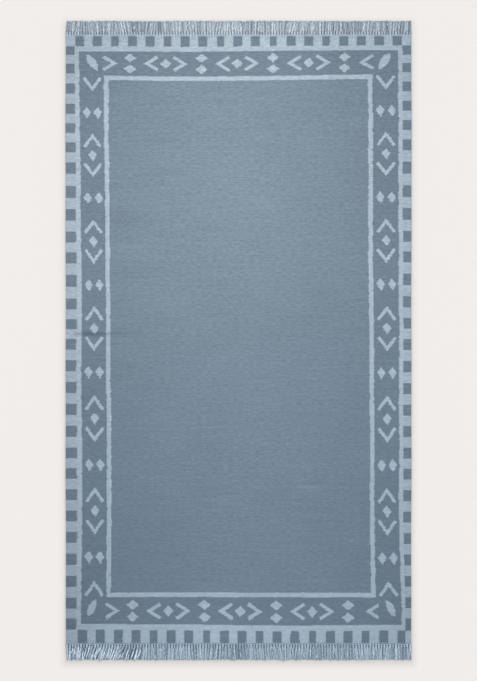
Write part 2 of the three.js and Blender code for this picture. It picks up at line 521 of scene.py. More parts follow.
def smooth_object(name, mesh, material):
    """A finished piece: smooth faces, one material, its object at the origin."""
    mesh.materials.append(material)
    mesh.polygons.foreach_set("use_smooth", np.ones(len(mesh.polygons), bool))
    piece = bpy.data.objects.new(name, mesh)
    bpy.context.scene.collection.objects.link(piece)
    return piece


def mesh_from(bm, name):
    mesh = bpy.data.meshes.new(name)
    bm.to_mesh(mesh)
    bm.free()
    return mesh


def places_of(mesh):
    """The mesh's points as an array of rows."""
    flat = np.empty(len(mesh.vertices) * 3)
    mesh.vertices.foreach_get("co", flat)
    return flat.reshape(-1, 3)


def set_places(mesh, places):
    mesh.vertices.foreach_set("co", (places * MM).ravel())
    mesh.update()


def store(mesh, name, kind, values):
    """Keeps a number or a vector at each point for the materials to read."""
    attribute = mesh.attributes.new(name, kind, "POINT")
    field = "value" if kind == "FLOAT" else "vector"
    attribute.data.foreach_set(field, np.asarray(values, np.float32).ravel())


def table_column(rows, key, place, at):
    """Reads one column of a table along the rug or across it, straight between its rows."""
    ordered = sorted(rows, key=lambda row: row[key])
    return np.interp(place, [row[key] for row in ordered], [row[at] for row in ordered])


def side_count(rows, x, y):
    """How many repeats from the head a place is, by the table of the side that it is on."""
    left, right = (table_column(rows, side_y, y, "count") for side_y in ("left_y", "right_y"))
    return np.where(x < 0, left, right)


def bell(away):
    """A smooth bell: 1 in its middle, and 0 from a distance of 1 on."""
    return (1 + np.cos(np.pi * np.minimum(away, 1))) / 2


def between_lines(place, found, drawn):
    """Carries a place on the cloth over to the plan: found has the real lines, and drawn the plan's."""
    carried = np.full_like(place, drawn[0])
    for i in range(len(drawn) - 1):
        share = np.clip((place - found[i]) / (found[i + 1] - found[i]), 0, 1)
        carried += (drawn[i + 1] - drawn[i]) * share
    return carried


def real_lines(lines, rows, key, place):
    """Where the plan's lines really run at a place along them."""
    return [drawn + table_column(rows, key, place, name) for name, drawn in lines.items()]


def plan_across(x, y):
    """Where a place lies across the plan, between the long lines as they really run."""
    found = real_lines(SIDE_LINES, SIDE_LINE_DRIFT, "y", y)
    drawn = SIDE_LINES.values()
    return between_lines(x, [-HALF_WIDTH, *found, HALF_WIDTH], [-HALF_WIDTH, *drawn, HALF_WIDTH])


def plan_along(x, y):
    """Where a place lies along the plan, between the end lines as they really run."""
    found = real_lines(END_LINES, END_LINE_DRIFT, "x", x)
    row_end = PLAN_BLOCK_ROW_END
    foot_end = -row_end - (FOOT_ROW_END_Y - FOOT_EDGE)
    return between_lines(
        y,
        [FOOT_EDGE, FOOT_ROW_END_Y, *found, HEAD_ROW_END_Y, HEAD_EDGE],
        [foot_end, -row_end, *END_LINES.values(), row_end, row_end + END_LINE_DEPTH],
    )


def bells(rows, x, y, height):
    """The sum of smooth bells over the rug, each with its place, its reach and the height it is given."""
    total = np.zeros_like(x)
    for row in rows:
        away = np.hypot((x - row["x"]) / row["reach_x"], (y - row["y"]) / row["reach_y"])
        total += row[height] * bell(away)
    return total


def crease_depth(x, y):
    """A soft trough that runs in from the left selvedge and fades out."""
    fade = np.clip((CREASE["to_x"] - x) / (CREASE["to_x"] - CREASE["from_x"]), 0, 1)
    return CREASE["depth"] * fade * bell(np.abs(y - CREASE["y"]) / CREASE["half_width"])


def painted_light_share(x, y):
    """Painted light and shade from place to place: the cloth drawn paler or deeper as the light falls,
    with the faint ripples' painted shade and light.
    """
    parts = ("left", "middle", "right")
    left, middle, right = (table_column(LIGHT_FALLOFF_PAINT, "y", y, part) for part in parts)
    to_side = (np.where(x < 0, left, right) - middle) * (x / HALF_WIDTH) ** 2
    return middle + to_side + bells(RIPPLE_SHADE_PAINT, x, y, "gain")


def selvedge_inset(y):
    short_wave = np.sin(2 * np.pi * y / SHORT_WANDER_LENGTH)
    long_wave = np.sin(2 * np.pi * y / LONG_WANDER_LENGTH + LONG_WANDER_PHASE)
    return EDGE_WANDER * (1 + short_wave * long_wave)


def cut_upright(bm, cuts):
    """Cuts each edge that stands upright in a shape of unit height."""
    upright = [e for e in bm.edges if abs(e.verts[0].co.z - e.verts[1].co.z) > 0.5]
    bmesh.ops.subdivide_edges(bm, edges=upright, cuts=cuts, use_grid_fill=True)


def cloth_slab():
    """A flat closed slab of unit size: two columns of faces to a rib, and a rim cut for its roll."""
    bm = bmesh.new()
    bmesh.ops.create_grid(bm, x_segments=2 * (RIBS - 1), y_segments=ROWS_ALONG, size=1)
    raised = bmesh.ops.extrude_face_region(bm, geom=bm.faces[:])["geom"]
    bmesh.ops.translate(bm, verts=[v for v in raised if isinstance(v, bmesh.types.BMVert)], vec=(0, 0, 1))
    bmesh.ops.recalc_face_normals(bm, faces=bm.faces)
    cut_upright(bm, ROLL_CUTS)
    return mesh_from(bm, "cloth")


def cloth_mesh(settings):
    """The cloth in its real form: ribs, rolled edges, ripples and the crease."""
    mesh = cloth_slab()
    unit = places_of(mesh)
    thickness = settings.thickness / MM
    relief = settings.rib_relief / MM
    rib_count = (unit[:, 0] + 1) / 2 * (RIBS - 1) + 0.5
    valley = np.isclose(rib_count, np.round(rib_count), atol=0.25)
    on_side = np.isclose(np.abs(unit[:, 0]), 1)
    on_end = np.isclose(np.abs(unit[:, 1]), 1)
    turn = np.pi * unit[:, 2]

    flat_x = unit[:, 0] * (HALF_WIDTH - EDGE_ROLL)
    flat_y = CLOTH_MIDDLE_Y + unit[:, 1] * (CLOTH_LENGTH / 2 - END_ROLL)
    x = flat_x + np.sign(unit[:, 0]) * EDGE_ROLL * np.sin(turn) * on_side
    y = flat_y + np.sign(unit[:, 1]) * (END_ROLL - relief * valley) * np.sin(turn) * on_end
    drawn_in = 1 - selvedge_inset(flat_y - CLOTH_MIDDLE_Y) / HALF_WIDTH
    height = (1 - np.cos(turn)) / 2
    flat_height = thickness * height - relief * valley * (2 * height - 1)
    lift = bells(RIPPLES, flat_x, flat_y, "lift")
    z = flat_height - crease_depth(flat_x, flat_y) * height + lift
    set_places(mesh, np.stack([x * drawn_in, y, z], axis=1))

    rib_place = (x + HALF_WIDTH) / RIB_PITCH
    store(mesh, "plan", "FLOAT_VECTOR", np.stack([plan_across(x, y), plan_along(x, y), rib_place], axis=1))
    counts = [side_count(rows, x, y) for rows in (SIDE_BLOCK_PLACES, SIDE_PAIR_PLACES)]
    store(mesh, "repeats", "FLOAT_VECTOR", np.stack([*counts, painted_light_share(x, y)], axis=1))
    return mesh


def inside(add, across, along, half_sizes):
    """1 inside a rectangle about the rug's middle, 0 outside."""
    narrow = add("Math LESS_THAN", across, half_sizes[0])
    short = add("Math LESS_THAN", along, half_sizes[1])
    return add("Math MULTIPLY", narrow, short)


def distance_to(add, value, place):
    return add("Math ABSOLUTE", add("Math SUBTRACT", value, place))


def falling(add, distance, reach):
    """1 at no distance, falling evenly to 0 at the reach."""
    return add("Math MAXIMUM", add("Math MULTIPLY_ADD", distance, -1 / reach, 1.0), 0.0)


def diamond(add, aside, onward, half_width):
    """1 inside a diamond, where onward is 0 at its middle and 1 at its points."""
    reach = add("Math MULTIPLY_ADD", aside, 1 / half_width, onward)
    return add("Math LESS_THAN", reach, 1.0)


def kite(add, aside, turns, size):
    """1 inside a diamond that reaches further to the foot than to the head. Its turns count repeats."""
    footward = add("Math MULTIPLY", turns, SIDE_REPEAT / size["to_foot"])
    headward = add("Math MULTIPLY", turns, -SIDE_REPEAT / size["to_head"])
    onward = add("Math MAXIMUM", footward, headward)
    return diamond(add, aside, onward, size["half_width"])


def chevron(add, aside, onward, size):
    """1 inside a chevron whose tip lies on the line aside = 0, with its arms cut square at their ends."""
    from_tip = add("Math SUBTRACT", onward, size["tip"])
    straightened = add("Math MULTIPLY_ADD", aside, -size["slope"], from_tip)
    half = size["thickness"] / 2
    arms = add("Math COMPARE", straightened, half, half)
    along_arm = add("Math MULTIPLY_ADD", from_tip, size["slope"], aside)
    before_cut = add("Math LESS_THAN", along_arm, size["cut"])
    return add("Math MULTIPLY", arms, before_cut)


def either(add, first, *others):
    """1 where any of the shapes is."""
    for other in others:
        first = add("Math MAXIMUM", first, other)
    return first


def product(add, first, *others):
    """Factors multiplied, which gives 1 where all of several shapes are."""
    for other in others:
        first = add("Math MULTIPLY", first, other)
    return first


def side_motifs(add, place_across, along, side, pairs):
    """The side bands: a pair of diamonds, then a single diamond between two chevrons."""
    turns = add("Math WRAP", pairs, 0.5, -0.5)
    turns_from_single = add("Math SUBTRACT", add("Math WRAP", pairs, 1.0, 0.0), SIDE_SINGLE_TURN)
    middle = add("Math MULTIPLY_ADD", side, SIDE_BAND_MIDDLE, SIDE_BAND_LEAN)
    from_middle = add("Math SUBTRACT", place_across, middle)
    skew = -SIDE_SKEW * SIDE_REPEAT
    pair_aside, single_aside = (
        add("Math ABSOLUTE", add("Math MULTIPLY_ADD", away, skew, from_middle))
        for away in (turns, turns_from_single)
    )
    pair = kite(add, distance_to(add, pair_aside, SIDE_PAIR["apart"]), turns, SIDE_PAIR)
    single = kite(add, single_aside, turns_from_single, SIDE_SINGLE)
    turns_away = distance_to(add, turns, SIDE_CHEVRON_LEAN / SIDE_REPEAT)
    onward = add("Math MULTIPLY", turns_away, SIDE_REPEAT)
    arms = chevron(add, add("Math ABSOLUTE", from_middle), onward, SIDE_CHEVRON)
    within = add("Math LESS_THAN", along, SIDE_MOTIF_END)
    return add("Math MULTIPLY", either(add, pair, single, arms), within)


def end_motifs(add, place_across, across, along, end):
    """The end bands: a stacked pair of diamonds, then a single diamond between two chevrons."""
    from_pair = add("Math SUBTRACT", place_across, END_FIRST_PAIR)
    onward = add("Math PINGPONG", from_pair, END_REPEAT / 2)
    aside = distance_to(add, along, END_BAND_MIDDLE)
    from_stacked = distance_to(add, aside, END_PAIR["apart"])
    stacked_reach = add("Math DIVIDE", from_stacked, END_PAIR["half_length"])
    pair = diamond(add, onward, stacked_reach, END_PAIR["half_width"])
    single_reach = add("Math DIVIDE", aside, END_SINGLE["half_length"])
    from_single = distance_to(add, onward, END_REPEAT / 2)
    single = diamond(add, from_single, single_reach, END_SINGLE["half_width"])

    at_head, at_foot = END_LAST_SHIFT["right_head"], END_LAST_SHIFT["right_foot"]
    right_shift = add("Math MULTIPLY_ADD", end, (at_head - at_foot) / 2, (at_head + at_foot) / 2)
    is_right = add("Math GREATER_THAN", place_across, END_LAST_FROM_X)
    right_shift = add("Math MULTIPLY", is_right, right_shift)
    is_left = add("Math LESS_THAN", place_across, -END_LAST_FROM_X)
    shift = add("Math MULTIPLY_ADD", is_left, END_LAST_SHIFT["left"], right_shift)
    arms = chevron(add, aside, add("Math SUBTRACT", onward, shift), END_CHEVRON)
    within = add("Math LESS_THAN", across, END_MOTIF_END)
    return add("Math MULTIPLY", either(add, pair, single, arms), within)


def corner_leaves(add, across, along, end):
    """A pointed leaf in each corner of the band."""
    x, y, half_length, half_width = (
        add("Math MULTIPLY_ADD", end, at_head, size) for size, at_head in LEAF.values()
    )
    from_x = add("Math SUBTRACT", across, x)
    from_y = add("Math SUBTRACT", along, y)
    slant = add("Math MULTIPLY", end, -LEAF_SLANT)
    from_x = add("Math MULTIPLY_ADD", slant, from_y, from_x)
    angle = math.radians(LEAF_ANGLE)
    lengthwise = add("Math MULTIPLY", from_x, math.cos(angle))
    lengthwise = add("Math MULTIPLY_ADD", from_y, math.sin(angle), lengthwise)
    sideways = add("Math MULTIPLY", from_x, -math.sin(angle))
    sideways = add("Math MULTIPLY_ADD", from_y, math.cos(angle), sideways)
    share = add("Math DIVIDE", lengthwise, half_length)
    inward = add("Math SUBTRACT", 1.0, add("Math MULTIPLY", share, share))
    rounded = add("Math POWER", add("Math MAXIMUM", inward, 0.0), LEAF_BLUNTNESS)
    swell = add("Math MULTIPLY_ADD", share, LEAF_SWELL, 1.0)
    edge = add("Math MULTIPLY", rounded, swell)
    from_middle = add("Math DIVIDE", add("Math ABSOLUTE", sideways), half_width)
    return add("Math LESS_THAN", from_middle, edge)


def outer_blocks(add, place_across, across, along, end, blocks, knot_beat):
    """The dark blocks of the outer row: down both sides, and across both ends."""
    side_dark = product(
        add,
        add("Math LESS_THAN", add("Math PINGPONG", blocks, 0.5), SIDE_BLOCK_SHARE / 2),
        add("Math GREATER_THAN", across, PLAN_OUTER_LINE[0]),
        add("Math LESS_THAN", along, PLAN_OUTER_LINE[1]),
    )
    from_first = add("Math MULTIPLY_ADD", end, FOOT_BLOCK_SHIFT / 2, place_across)
    from_first = add("Math SUBTRACT", from_first, FOOT_BLOCK_SHIFT / 2)
    mirrored = add("Math MULTIPLY_ADD", from_first, end, END_BLOCK_PITCH)
    to_narrow = add("Math PINGPONG", mirrored, NARROW_BLOCK_EVERY * END_BLOCK_PITCH / 2)
    is_narrow = product(
        add,
        add("Math LESS_THAN", to_narrow, END_BLOCK_PITCH / 2),
        add("Math LESS_THAN", across, NARROW_BLOCK_REACH),
    )
    half = add("Math MULTIPLY_ADD", is_narrow, -NARROW_BLOCK_LOSS, END_BLOCK_HALF_WIDTH)
    toothed = add("Math MULTIPLY_ADD", knot_beat, BLOCK_TOOTH, along)
    end_dark = product(
        add,
        add("Math LESS_THAN", add("Math PINGPONG", from_first, END_BLOCK_PITCH / 2), half),
        inside(add, across, toothed, (PLAN_BLOCK_ROW_HALF_WIDTH, PLAN_BLOCK_ROW_END)),
        add("Math GREATER_THAN", along, PLAN_OUTER_LINE[1]),
    )
    return either(add, side_dark, end_dark)


def to_middle(add, turns, pitch):
    """How far it is from a place to the middle of its own rib or pick."""
    return add("Math MULTIPLY_ADD", add("Math FRACT", turns), -pitch, pitch / 2)


def dyed_over(add, below, *layers):
    """Dyes laid one over the other, each with the share of it that shows."""
    for share, above in layers:
        below = add("Mix", share, below, above, data_type="RGBA")
    return below


def unevenness(add, place, cycles, swing, about=1, detail=2.0, roughness=0.5):
    """A number that wanders softly about another, with its cycles a metre for each axis."""
    stretched = add("VectorMath MULTIPLY", place, cycles)
    share = add("TexNoise", stretched, 1.0, detail, roughness)
    return add("Math MULTIPLY_ADD", share, 2 * swing, about - swing)


def cloth_material(settings):
    """Handspun cotton, vat dyed and woven weft-faced: quite matt, ribbed, uneven from weft to weft."""
    material, add = empty_material("handwoven_cotton_flatweave")
    place = add("TexCoord").node.outputs["Object"]
    plan = add("Attribute", attribute_name="plan").node.outputs["Vector"]
    repeats = add("Attribute", attribute_name="repeats").node.outputs["Vector"]
    plan_x, plan_y, rib_place = add("SeparateXYZ", plan).node.outputs
    # The third of the repeats is the painted light and shade, paler or deeper from place to place
    blocks, pairs, strength = add("SeparateXYZ", repeats).node.outputs
    metres_x, metres_y = add("SeparateXYZ", place).node.outputs[:2]

    # Colours change only between ribs and between picks, so slanting edges step
    odd_rib = add("Math FLOORED_MODULO", add("Math FLOOR", rib_place), 2.0)
    pick_place = add("Math MULTIPLY", metres_y, 1 / (PICK_PITCH * MM))
    pick_place = add("Math MULTIPLY_ADD", odd_rib, 0.5, pick_place)
    pick = add("Math FLOOR", pick_place)
    odd_pick = add("Math FLOORED_MODULO", pick, 2.0)
    joined_place = add("Math MULTIPLY_ADD", odd_pick, 0.5, rib_place)
    bead_place = add("CombineXYZ", add("Math FLOOR", joined_place), pick)
    bead_place = add("VectorMath MULTIPLY", bead_place, (RIB_PITCH * MM, PICK_PITCH * MM, 0))
    wobble_x = unevenness(add, bead_place, **LINE_WOBBLE)
    wobble_y = unevenness(add, bead_place, **END_WOBBLE)
    to_pick = to_middle(add, pick_place, PICK_PITCH)
    rib_x = add("Math ADD", plan_x, to_middle(add, joined_place, RIB_PITCH))
    woven_x = add("Math MULTIPLY_ADD", wobble_x, MOTIF_WOBBLE_SHARE, rib_x)
    woven_y = add("Math ADD", plan_y, add("Math ADD", to_pick, wobble_y))
    woven_pairs = add("Math MULTIPLY_ADD", to_pick, -1 / SIDE_REPEAT, pairs)
    across, along = (add("Math ABSOLUTE", woven) for woven in (woven_x, woven_y))
    side, end = (add("Math SIGN", woven) for woven in (woven_x, woven_y))

    line_across = add("Math ABSOLUTE", add("Math ADD", rib_x, wobble_x))
    in_outer, in_band, in_inner, in_field = (
        inside(add, line_across, along, half_sizes)
        for half_sizes in (PLAN_OUTER_LINE, PLAN_BAND, PLAN_INNER_LINE, PLAN_FIELD)
    )
    motifs = either(
        add,
        side_motifs(add, woven_x, along, side, woven_pairs),
        end_motifs(add, woven_x, across, along, end),
        corner_leaves(add, across, along, end),
    )
    # Swings from 1 to -1 and back over every two ribs, which meet in one knot
    knot_beat = add("Math COSINE", add("Math MULTIPLY", rib_place, math.pi))
    dark_blocks = outer_blocks(add, woven_x, across, along, end, blocks, knot_beat)

    # The field is painted deeper to its sides, as shade where the light falls off, and the end rows are a
    # little paler than the side rows
    sideways = add("Math POWER", add("Math MULTIPLY", plan_x, 1 / PLAN_FIELD[0]), 2.0)
    field_share = add("Math MULTIPLY_ADD", sideways, -FIELD_SIDE_SHADE, FIELD_GAIN)
    field = add("VectorMath SCALE", settings.field, field_share)
    in_end_row = add("Math GREATER_THAN", along, PLAN_OUTER_LINE[1])
    dyed = dyed_over(
        add,
        settings.light_block,
        (in_end_row, [END_ROW_GAIN * channel for channel in settings.light_block]),
        (dark_blocks, settings.dark_block),
        (in_outer, settings.light_line),
        (in_band, settings.band),
        (motifs, settings.light_line),
        (in_inner, settings.light_line),
        (in_field, field),
    )

    # Uneven dye: broad clouds, streaks of whole wefts, and short lengths of handspun yarn; and with them
    # the painted light and shade that the cloth carries from place to place
    one_weft = add("CombineXYZ", metres_x, add("Math SNAP", metres_y, PICK_PITCH * MM))
    slub_swing = add("Math MULTIPLY_ADD", metres_y, SLUB_GROWTH, SLUB_SWING)
    slubs = add("Math MULTIPLY_ADD", unevenness(add, one_weft, **SLUBS), slub_swing, 1.0)
    factors = [strength, unevenness(add, place, **CLOUDS), unevenness(add, place, **STREAKS), slubs]

    # The last wefts are paler, and light and dark in turn where the warps are drawn together for knots
    from_end = add("Math SUBTRACT", PLAN_BLOCK_ROW_END + END_LINE_DEPTH, along)
    gathered = add("Math MULTIPLY_ADD", knot_beat, -GATHER_SWING, GATHER_LIFT)
    nearness = falling(add, from_end, GATHER_REACH)
    factors.append(add("Math MULTIPLY_ADD", gathered, nearness, 1.0))

    # The marks deepen or lighten the colour: the fold's dark line is partly painted shade
    past_blocks = add("Math GREATER_THAN", metres_x, MARKS_FROM_X * MM)
    for mark in FOLD_SHADE_AND_MARK:
        mark_share = product(
            add,
            falling(add, distance_to(add, metres_y, mark["y"] * MM), mark["reach_y"] * MM),
            falling(add, distance_to(add, metres_x, mark["x"] * MM), mark["reach_x"] * MM),
            past_blocks,
        )
        factors.append(add("Math MULTIPLY_ADD", mark_share, -mark["deeper"], 1.0))
    dyed = add("VectorMath SCALE", dyed, product(add, *factors))

    # Each weft shows as a bead where it passes over a warp
    bead = add("Math COSINE", add("Math MULTIPLY", pick_place, 2 * math.pi))
    relief = add("Math MULTIPLY_ADD", bead, -BEAD_SHARE, unevenness(add, place, **FIBRES))
    bumped = add("Bump", BEAD_BUMP, settings.bead_relief, None, relief)
    finish = {
        "Base Color": dyed,
        "Roughness": 0.92,
        "IOR": 1.54,
        "Specular IOR Level": 0.25,
        "Sheen Weight": 0.15,
        "Sheen Roughness": 0.5,
        "Normal": bumped,
    }
    add("OutputMaterial", add("BsdfPrincipled", sockets=finish))
    return material


def yarn_material(settings):
    """Plied cotton warp yarn: pale on top as painted light and deep grey below as painted shade."""
    material, add = empty_material("plied_cotton_warp_yarn")
    place = add("TexCoord").node.outputs["Object"]
    tone = add("Attribute", attribute_name="tone").node.outputs["Fac"]
    weft = add("Math MULTIPLY", tone, -1.0)
    bleached = add("Math SUBTRACT", tone, 1.0)
    dyed = dyed_over(add, settings.deep, (weft, settings.weft), (tone, settings.pale))
    uneven = product(add, unevenness(add, place, **YARN_PATCHES), unevenness(add, place, **YARN_CLUSTERS))
    dyed = add("VectorMath SCALE", dyed, uneven)
    dyed = dyed_over(add, dyed, (bleached, settings.bleached))
    metres_y = add("SeparateXYZ", place).node.outputs[1]
    # Painted light: a cooler tint on the yarns at the foot, as the light there is cooler
    at_foot = add("Math LESS_THAN", metres_y, 0.0)
    dyed = add("Mix", at_foot, dyed, settings.foot_light_tint, data_type="RGBA", blend_type="MULTIPLY")
    bumped = add("Bump", YARN_BUMP, YARN_PLY_RELIEF * MM, None, unevenness(add, place, **YARN_PLIES))
    finish = {
        "Base Color": dyed,
        "Roughness": 0.85,
        "IOR": 1.54,
        "Specular IOR Level": 0.3,
        "Sheen Weight": 0.1,
        "Normal": bumped,
    }
    add("OutputMaterial", add("BsdfPrincipled", sockets=finish))
    return material


def yarn_template(segments, sides=5):
    """A yarn of unit radius and length in segments that can bend, and how far along it each point is."""
    bm = bmesh.new()
    bmesh.ops.create_cone(bm, cap_ends=True, segments=sides, radius1=1, radius2=1, depth=1)
    cut_upright(bm, segments - 1)
    bmesh.ops.translate(bm, verts=bm.verts, vec=(0, 0, 0.5))
    template = mesh_from(bm, "yarn_template")
    return template, places_of(template)[:, 2]


def bead_template():
    """The body of a knot, a ball of unit radius."""
    bm = bmesh.new()
    bmesh.ops.create_uvsphere(bm, u_segments=8, v_segments=6, radius=1)
    return mesh_from(bm, "bead_template")


def wrap_template():
    """The turn of yarn round a knot: a ring of unit radius about the y axis."""
    bm = bmesh.new()
    bmesh.ops.create_circle(bm, segments=5, radius=WRAP_YARN_SHARE)
    bmesh.ops.translate(bm, verts=bm.verts, vec=(1, 0, 0))
    bmesh.ops.spin(
        bm,
        geom=bm.verts[:] + bm.edges[:],
        cent=(0, 0, 0),
        axis=(0, 1, 0),
        angle=2 * math.pi,
        steps=10,
        use_merge=True,
    )
    bmesh.ops.recalc_face_normals(bm, faces=bm.faces)
    return mesh_from(bm, "wrap_template")


def tip_places(row):
    """Where each strand's tip ends up across the rug, kept clear of its neighbours."""
    chance = random.Random(row["seed"])
    pitch = RUG_WIDTH / row["strands"]
    tips = []
    for i in range(row["strands"]):
        lean = chance.uniform(-OWN_LEAN, OWN_LEAN)
        for wave in row["waves"]:
            lean += wave["swing"] * math.sin(2 * math.pi * i / wave["strands"] + wave["phase"])
        for bunch in row["bunches"]:
            lean += bunch["shift"] * math.exp(-(((i - bunch["middle"]) / bunch["reach"]) ** 2))
        tips.append(-HALF_WIDTH + (i + 0.5) * pitch + lean)
    for i in range(1, len(tips)):
        tips[i] = max(tips[i], tips[i - 1] + LEAST_TIP_STEP)
    limit = HALF_WIDTH - LEAST_TIP_STEP / 2
    tips[-1] = min(tips[-1], limit)
    for i in range(len(tips) - 2, -1, -1):
        tips[i] = min(tips[i], tips[i + 1] - LEAST_TIP_STEP)
    return np.maximum(tips, -limit)


class Strands:
    """The run of each strand in a row, as if the row grew towards +Y from the cloth's edge at y = 0."""

    def __init__(self, row):
        self.count = row["strands"]
        self.pitch = RUG_WIDTH / self.count
        self.roots = -HALF_WIDTH + (np.arange(self.count) + 0.5) * self.pitch
        self.tips = tip_places(row)
        self.length = row["length"]
        self.knot_place = row["knot_place"]
        self.tip_uneven = row["tip_uneven"]
        self.spacing = np.gradient(self.tips) / self.pitch
        chance = np.random.default_rng(row["seed"] + 1)
        self.own_tones = row["paler"] + chance.normal(0, STRAND_TONE_SWING, self.count)
        self.own_tones += row["side_tone"] * (self.roots / HALF_WIDTH) ** 2
        self.knot_tones = self.own_tones + row["knots_paler"]
        self.shade = np.zeros(self.count)
        for group in row["curls"]:
            self.shade[group["from"] : group["to"]] += group["shade"]

    def split(self, each):
        """Each yarn's strand, its number there, and how far aside it lies as a share of the strand."""
        strand = np.repeat(np.arange(self.count), each)
        number = np.tile(np.arange(each), self.count)[:, None]
        return strand, number, (number + 0.5) / each - 0.5

    def lean(self, y):
        """How far over a strand is at a distance from the edge, as a share of its whole lean."""
        return np.clip((y - CORD_DEPTH) / (self.length - CORD_DEPTH), 0, 1) ** LATE_BEND

    def middle(self, strand, y):
        root = self.roots[strand][:, None]
        tip = self.tips[strand][:, None]
        return root + (tip - root) * self.lean(y)


def bent_yarns(template, middle_x, middle_y, middle_z, radius):
    """Copies of the yarn template, each ring of points set round the yarn's own middle line.

    The template stands up and the copies lie down, so x is mirrored to keep their faces outwards.
    """
    ring = places_of(template)
    x = middle_x - ring[:, 0] * radius
    z = middle_z + ring[:, 1] * radius
    return np.stack(np.broadcast_arrays(x, middle_y, z), axis=2)


def upper_yarns(strands, settings, row, chance):
    """Pale yarns that leave each knot in a ridge and loosen towards their tips."""
    template, share = yarn_template(8)
    strand, _, aside = strands.split(settings.upper_yarns)
    count = len(strand)
    aside = aside * UPPER_SPREAD + chance.normal(0, UPPER_UNEVEN, (count, 1))
    stray = (chance.random((count, 1)) < STRAY_SHARE) * chance.normal(0, STRAY_SPREAD, (count, 1))
    tip_y = strands.length - chance.random((count, 1)) * strands.tip_uneven
    tip_y += (chance.random((count, 1)) < row["wisps"]) * chance.random((count, 1)) * WISP_LENGTH
    y = strands.knot_place + (tip_y - strands.knot_place) * share
    opened = np.clip((y - strands.knot_place) / NECK_TO_SPREAD, 0, 1)
    opened = opened * opened * (3 - 2 * opened)
    wave = CRIMP * np.sin(2 * np.pi * (y / CRIMP_LENGTH + chance.random((count, 1)))) * opened
    spread = NECK_SHARE + (1 - NECK_SHARE) * opened
    x = strands.middle(strand, y) + aside * spread + stray * opened * share + wave
    rest = UPPER_REST + chance.random((count, 1)) * UPPER_LAYERS
    z = KNOT_HEIGHT / 2 + (rest - KNOT_HEIGHT / 2) * opened - share**3 * TIP_DROP
    radius = settings.yarn_thickness / MM / 2 * (1 - TIP_TAPER * share**4)
    tone = chance.uniform(*UPPER_LIT_TONE, (count, 1)) + strands.own_tones[strand][:, None]
    return template, bent_yarns(template, x, y, z, radius), np.clip(tone, 0, 1)


def lower_yarns(strands, settings, chance):
    """Yarns that lie flat on the floor side by side, and fill the gaps between the ridges, painted deep as
    their shade.
    """
    template, share = yarn_template(8)
    strand, number, aside = strands.split(settings.lower_yarns)
    count = len(strand)
    tip_y = strands.length - chance.random((count, 1)) * strands.tip_uneven
    y = LOWER_START + (tip_y - LOWER_START) * share
    spacing = 1 + (strands.spacing[strand][:, None] - 1) * strands.lean(y)
    wave = CRIMP / 2 * np.sin(2 * np.pi * (y / CRIMP_LENGTH + number / ALIKE_EVERY))
    x = strands.middle(strand, y) + aside * strands.pitch * spacing + wave
    radius = strands.pitch / settings.lower_yarns / 2 * LOWER_OVERLAP * spacing
    # Painted shade: the lower yarns stay deep by the knots and turn paler only past them, and are deeper
    # still under the shaded bunches
    painted_lit_share = np.clip((y - strands.knot_place) / NECK_TO_SPREAD + KNOT_OPENNESS, 0, 1)
    tone = (chance.uniform(*LOWER_SHADED_TONE, (count, 1)) - strands.shade[strand][:, None]) * painted_lit_share
    return template, bent_yarns(template, x, y, radius, radius), np.maximum(tone, 0)


def curled_ends(strands, group, chance):
    """Loose ends on top of the fringe, bleached and curled to one side."""
    template, share = yarn_template(5)
    count = group["count"]
    apart = (group["to"] - group["from"]) / count
    strand = (group["from"] + (np.arange(count) + chance.random(count)) * apart).astype(int)
    shortest, longest = group["length"]
    room = strands.length - strands.knot_place - shortest
    start = strands.knot_place + chance.random((count, 1)) * room
    end = np.minimum(start + chance.uniform(shortest, longest, (count, 1)), strands.length - CURL_STOP)
    y = start + (end - start) * share
    lean = chance.normal(0, CURL_LEAN, (count, 1))
    x = strands.middle(strand, y) + chance.normal(0, CURL_ASIDE, (count, 1)) + lean * share**2
    z = CURL_HEIGHT - CURL_ARCH * (2 * share - 1) ** 2
    radius = group["thickness"] / 2 * (1 - CURL_TAPER * share**4)
    return template, bent_yarns(template, x, y, z, radius), chance.uniform(*CURL_TONE, (count, 1))


def warp_stubs(strands):
    """The two warps of each strand, from the cloth's edge into the knot."""
    template, share = yarn_template(2)
    strand, _, aside = strands.split(2)
    y = EDGE_GAP + (strands.knot_place - EDGE_GAP) * share
    x = strands.roots[strand][:, None] + 2 * aside * RIB_PITCH * (1 - STUB_CLOSING * share)
    z = STUB_START_HEIGHT + (KNOT_HEIGHT / 2 - STUB_START_HEIGHT) * share
    tone = STUB_TONE + strands.knot_tones[strand][:, None]
    return template, bent_yarns(template, x, y, z, STUB_RADIUS), tone


def knots(strands, chance):
    """Each knot: its body, and the turn of yarn that binds it, drawn tight to one side or the other."""
    middle_y = strands.knot_place + chance.normal(0, KNOT_UNEVEN, strands.count)
    middle = np.stack([strands.roots, middle_y, np.full(strands.count, KNOT_HEIGHT / 2)], axis=1)
    tilts = np.radians(chance.choice([-1, 1], strands.count) * chance.uniform(*KNOT_TILT, strands.count))
    cos, sin = np.cos(tilts)[:, None], np.sin(tilts)[:, None]
    parts = []
    for template, size, tone in (
        (bead_template(), KNOT_BODY, KNOT_TONE),
        (wrap_template(), KNOT_WRAP, WRAP_TONE),
    ):
        shape = places_of(template) * size
        x = shape[:, 0] * cos - shape[:, 1] * sin
        y = shape[:, 0] * sin + shape[:, 1] * cos
        placed = np.stack(np.broadcast_arrays(x, y, shape[:, 2]), axis=2) + middle[:, None, :]
        parts.append((template, placed, tone + strands.knot_tones[:, None]))
    return parts


